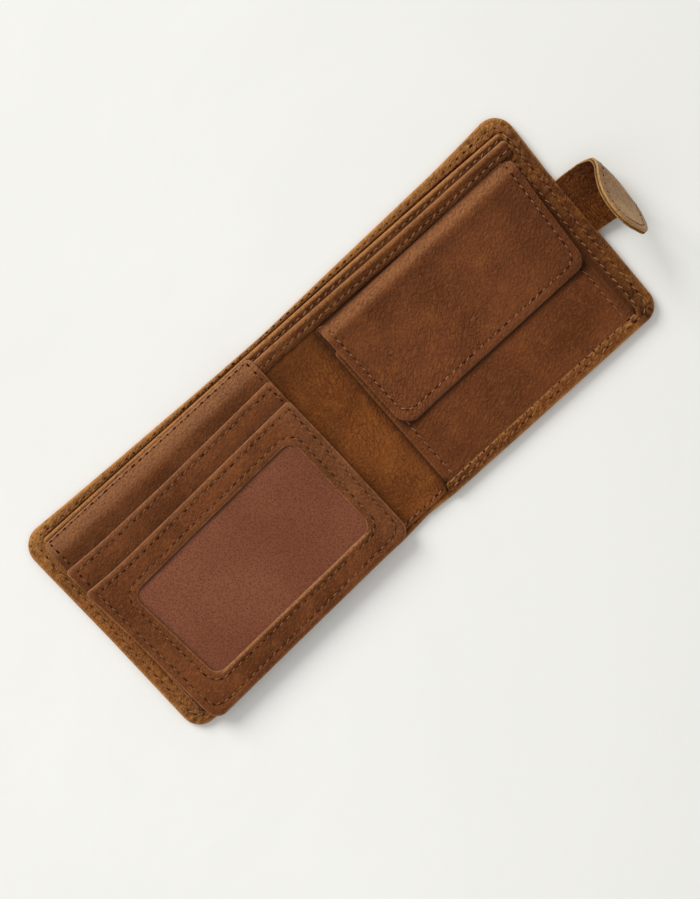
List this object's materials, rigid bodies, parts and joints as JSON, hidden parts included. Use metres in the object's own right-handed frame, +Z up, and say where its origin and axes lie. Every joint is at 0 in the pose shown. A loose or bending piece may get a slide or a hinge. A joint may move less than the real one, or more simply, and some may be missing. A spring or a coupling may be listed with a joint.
{
  "type": "trifold wallet",
  "caption": "Open leather wallet: note compartment, flip-up leaf with window and card slots, coin pocket with flap, slip pocket and magnetic closing tab.",
  "frame": {"origin": "centre of the spine's underside, on the surface the open wallet lies on", "axes": "+X towards the coin pocket's cover and its closing tab, +Y towards the mouth of the note compartment, +Z up out of the open wallet"},
  "size_m": [0.2598, 0.0975, 0.0319],
  "materials": {
    "leather": "waxed, grained, worn at the edges",
    "dark_leather": "matt, grained",
    "lining_cloth": "plain woven",
    "window_film": "hazed clear film over leather",
    "steel": "plain",
    "nickel": "nickel plated",
    "thread": "waxed thread"
  },
  "bodies": {
    "spine": {"spine_leather": "leather", "spine_lining": "lining_cloth", "spine_note_divider": "leather", "spine_panel": "dark_leather", "spine_binding": "leather"},
    "left_cover": {"left_cover_leather": "leather", "left_cover_lining": "lining_cloth", "closure_plate": "steel", "left_note_divider": "leather", "left_card_backing": "leather", "left_card_slot_1": "leather", "left_card_slot_2": "leather", "left_card_slot_3": "leather", "leaf_fold_strip": "leather"},
    "window_leaf": {"leaf_back": "leather", "leaf_slot_panel": "leather", "leaf_window_film": "window_film", "leaf_window_frame": "leather"},
    "right_cover": {"right_cover_leather": "leather", "right_cover_lining": "lining_cloth", "right_note_divider": "leather", "right_card_panel": "dark_leather", "right_binding": "leather", "coin_pocket_back": "leather", "coin_pocket_gusset": "leather", "coin_pocket_front": "leather", "coin_stud_post": "nickel", "coin_flap_fold_strip": "leather", "tab_anchor": "leather"},
    "coin_flap": {"coin_flap_leather": "leather", "coin_flap_lining": "dark_leather", "coin_stud_socket": "nickel"},
    "tab_strap": {"tab_strap_outer": "leather", "tab_strap_inner": "dark_leather"},
    "tab_tip": {"tab_tip_outer": "leather", "tab_tip_inner": "dark_leather", "closure_magnet": "nickel"}
  },
  "joints": [
    {"name": "left_fold", "type": "hinge", "parent": "spine", "child": "left_cover", "pos_m": [-0.01, 0, 0.0038], "axis": [0, 1, 0], "range_deg": [0, 93.4]},
    {"name": "right_fold", "type": "hinge", "parent": "spine", "child": "right_cover", "pos_m": [0.01, 0, 0.0038], "axis": [0, -1, 0], "range_deg": [0, 93.4]},
    {"name": "leaf_fold", "type": "hinge", "parent": "left_cover", "child": "window_leaf", "pos_m": [-0.0629, 0.042, 0.00532], "axis": [-1, 0, 0], "range_deg": [0, 180]},
    {"name": "coin_flap_fold", "type": "hinge", "parent": "right_cover", "child": "coin_flap", "pos_m": [0.0654, 0.0314, 0.0069], "axis": [-1, 0, 0], "range_deg": [0, 180]},
    {"name": "tab_fold", "type": "hinge", "parent": "right_cover", "child": "tab_strap", "pos_m": [0.1225, 0.0005, 0.0013], "axis": [0, -1, 0], "range_deg": [-8, 62]},
    {"name": "tab_bend", "type": "hinge", "parent": "tab_strap", "child": "tab_tip", "pos_m": [0.13755, 0.0005, 0.00342], "axis": [0, -1, 0], "range_deg": [-102, 0]}
  ]
}
